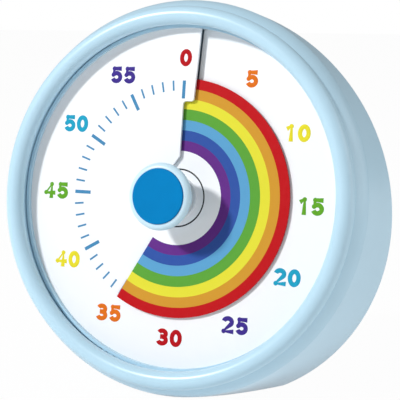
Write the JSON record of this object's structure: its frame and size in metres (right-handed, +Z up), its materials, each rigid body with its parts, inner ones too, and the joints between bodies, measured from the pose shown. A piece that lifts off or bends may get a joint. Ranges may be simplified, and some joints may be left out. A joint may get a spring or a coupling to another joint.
{
  "type": "visual countdown timer",
  "caption": "Round desk timer with a knob-set coloured disc that slips through a slit in its dial; wedge-shaped case on a flat base.",
  "frame": {"origin": "centre of the bounding box's bottom, on the table under the timer", "axes": "+Z up, the dial faces -Y and leans back, +X to the right of someone reading the dial"},
  "size_m": [0.0888, 0.0256, 0.0852],
  "materials": {
    "shell_blue": "smooth moulded, semi-gloss",
    "dial_white": "satin with printed numbers and ticks",
    "disc_print": "thin sheet printed with seven concentric bands",
    "hub_white": "satin",
    "cap_blue": "satin insert",
    "acetal": "natural, waxy",
    "bush_brass": "turned",
    "movement_grey": "moulded",
    "spring_steel": "rolled sheet",
    "magnet": "moulded pinion on a ground magnet",
    "copper": "fine enamelled wire",
    "cell_wrap": "plain printed sleeve",
    "nickel": "plated sheet",
    "board_green": "varnished board",
    "black_plastic": "moulded",
    "screw_steel": "zinc plated"
  },
  "bodies": {
    "case": {"front_bezel": "shell_blue", "back_housing": "shell_blue", "dial_plate": "dial_white", "shaft_bush": "bush_brass", "movement_base": "movement_grey", "movement_cover": "movement_grey", "stator": "spring_steel", "motor_coil": "copper", "battery_cell": "cell_wrap", "contact_plus": "nickel", "contact_minus": "nickel", "circuit_board": "board_green", "buzzer": "black_plastic", "switch_body": "nickel", "case_screws": "screw_steel", "board_screws": "screw_steel", "movement_screws": "screw_steel"},
    "setting_knob": {"knob_body": "shell_blue", "knob_cap": "cap_blue", "main_shaft": "acetal", "centre_wheel": "acetal", "clutch_washer": "spring_steel"},
    "time_disc": {"rainbow_disc": "disc_print", "disc_hub": "hub_white"},
    "third_arbor": {"third_wheel": "acetal"},
    "rotor_arbor": {"rotor": "magnet"},
    "volume_switch": {"volume_slider": "black_plastic"},
    "door": {"battery_door": "shell_blue"}
  },
  "joints": [
    {"name": "knob_turn", "type": "hinge", "parent": "case", "child": "setting_knob", "pos_m": [0, -0.00121, 0.04265], "axis": [0, 0.9877, -0.1564], "range_deg": [-210, 150]},
    {"name": "disc_feed", "type": "slide", "parent": "setting_knob", "child": "time_disc", "axis": [0, -0.9877, 0.1564], "range_m": [-0.00094, 0.00067]},
    {"name": "third_spin", "type": "hinge", "parent": "case", "child": "third_arbor", "pos_m": [-0.01061, -0.00287, 0.03217], "axis": [0, 0.9877, -0.1564], "range_deg": [-601, 841]},
    {"name": "rotor_spin", "type": "hinge", "parent": "case", "child": "rotor_arbor", "pos_m": [0.00067, -0.00351, 0.02812], "axis": [0, 0.9877, -0.1564], "range_deg": [-2523, 1803]},
    {"name": "volume_slide", "type": "slide", "parent": "case", "child": "volume_switch", "axis": [1, 0, 0], "range_m": [-0.002, 0.002]},
    {"name": "door_lift", "type": "slide", "parent": "case", "child": "door", "axis": [0, 0.9997, 0.0262], "range_m": [0, 0.015]}
  ],
  "couplings": [
    {"joint": "disc_feed", "follows": "knob_turn", "m_per_rad": 0.00025465},
    {"joint": "third_spin", "follows": "knob_turn", "ratio": -4},
    {"joint": "rotor_spin", "follows": "knob_turn", "ratio": 12}
  ]
}
